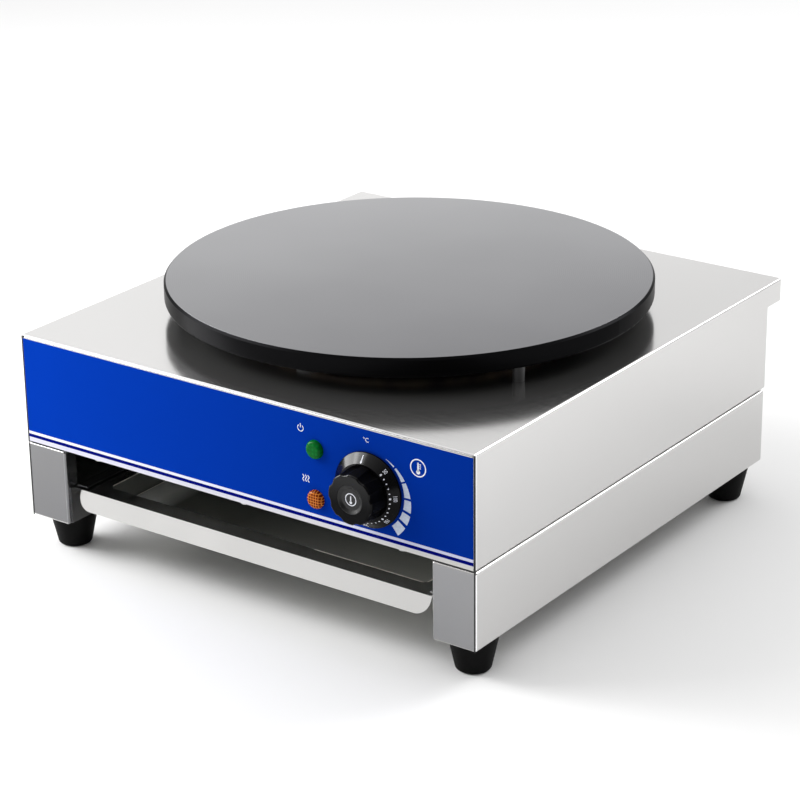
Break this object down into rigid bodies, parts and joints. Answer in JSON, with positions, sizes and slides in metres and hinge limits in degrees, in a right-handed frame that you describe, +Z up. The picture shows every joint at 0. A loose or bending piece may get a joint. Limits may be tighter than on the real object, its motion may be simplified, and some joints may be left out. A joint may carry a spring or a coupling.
{
  "type": "electric crepe maker",
  "caption": "Countertop crepe maker: round cast-iron griddle plate on a stainless housing with a thermostat knob, pilot lamps and a sliding drip tray.",
  "frame": {"origin": "on the floor under the middle of the whole appliance, from the knob's face to the edge of the rear hood", "axes": "+X to the right, -Y out of the front control panel, +Z up"},
  "size_m": [0.44, 0.4816, 0.2171],
  "materials": {
    "stainless_steel": "brushed, folded sheet",
    "polished_steel": "smooth bright sheet",
    "zinc_sheet": "zinc plated",
    "zinc_fasteners": "zinc plated",
    "post_steel": "turned, plain",
    "label_film": "printed film, satin",
    "plate_iron": "ground top, seasoned rim",
    "element_sheath": "heat darkened",
    "terminal_ceramic": "glazed",
    "aluminised_sheet": "aluminised, matt",
    "mineral_wool": "pressed fibre board",
    "copper_tube": "drawn copper",
    "thermostat_case": "plated case",
    "green_lens": "clear coloured, moulded",
    "orange_lens": "clear coloured, moulded",
    "lamp_plastic": "moulded",
    "gland_plastic": "moulded",
    "brass_fittings": "turned",
    "live_sleeve": "silicone sleeve",
    "switched_sleeve": "silicone sleeve",
    "neutral_sleeve": "silicone sleeve",
    "earth_sleeve": "silicone sleeve",
    "knob_plastic": "moulded, fine grain",
    "cap_plastic": "moulded, printed ring",
    "foot_rubber": "moulded, matt"
  },
  "bodies": {
    "housing": {"top_cover": "stainless_steel", "front_panel": "stainless_steel", "front_label": "label_film", "rear_panel": "stainless_steel", "chassis_plate": "zinc_sheet", "left_base_channel": "stainless_steel", "right_base_channel": "stainless_steel", "rear_crossmember": "stainless_steel", "left_drawer_rail": "stainless_steel", "right_drawer_rail": "stainless_steel", "foot_front_left": "foot_rubber", "foot_front_right": "foot_rubber", "foot_rear_left": "foot_rubber", "foot_rear_right": "foot_rubber", "foot_screws": "zinc_fasteners", "foot_nuts": "zinc_fasteners", "housing_screws": "zinc_fasteners", "front_panel_screws": "zinc_fasteners", "rear_panel_screws": "zinc_fasteners", "crossmember_screws": "zinc_fasteners", "rail_screws": "zinc_fasteners", "griddle_plate": "plate_iron", "plate_posts": "post_steel", "plate_studs": "post_steel", "plate_stud_nuts": "zinc_fasteners", "outer_heating_element": "element_sheath", "inner_heating_element": "element_sheath", "element_terminals": "terminal_ceramic", "element_clamp_bars": "zinc_sheet", "clamp_screws": "zinc_fasteners", "reflector_dish": "aluminised_sheet", "dish_screws": "zinc_fasteners", "insulation_disc": "mineral_wool", "thermostat_bulb": "copper_tube", "bulb_clips": "post_steel", "clip_screws": "zinc_fasteners", "thermostat_body": "thermostat_case", "thermostat_screws": "zinc_fasteners", "thermostat_capillary": "copper_tube", "power_lamp_lens": "green_lens", "heat_lamp_lens": "orange_lens", "power_lamp_body": "lamp_plastic", "heat_lamp_body": "lamp_plastic", "lamp_clips": "post_steel", "cable_gland": "gland_plastic", "gland_locknut": "gland_plastic", "earth_stud": "brass_fittings", "earth_stud_nuts": "brass_fittings", "terminal_block": "terminal_ceramic", "terminal_screws": "brass_fittings", "live_wire": "live_sleeve", "switched_wires": "switched_sleeve", "neutral_wires": "neutral_sleeve", "earth_wire": "earth_sleeve"},
    "knob": {"thermostat_shaft": "post_steel", "knob_skirt": "knob_plastic", "knob_grip": "knob_plastic", "knob_cap": "cap_plastic"},
    "drawer": {"drawer_tray": "polished_steel"}
  },
  "joints": [
    {"name": "knob_turn", "type": "hinge", "parent": "housing", "child": "knob", "pos_m": [0.1255, -0.2278, 0.1368], "axis": [0, 1, 0], "range_deg": [0, 280]},
    {"name": "drawer_slide", "type": "slide", "parent": "housing", "child": "drawer", "axis": [0, -1, 0], "range_m": [0, 0.3]}
  ]
}
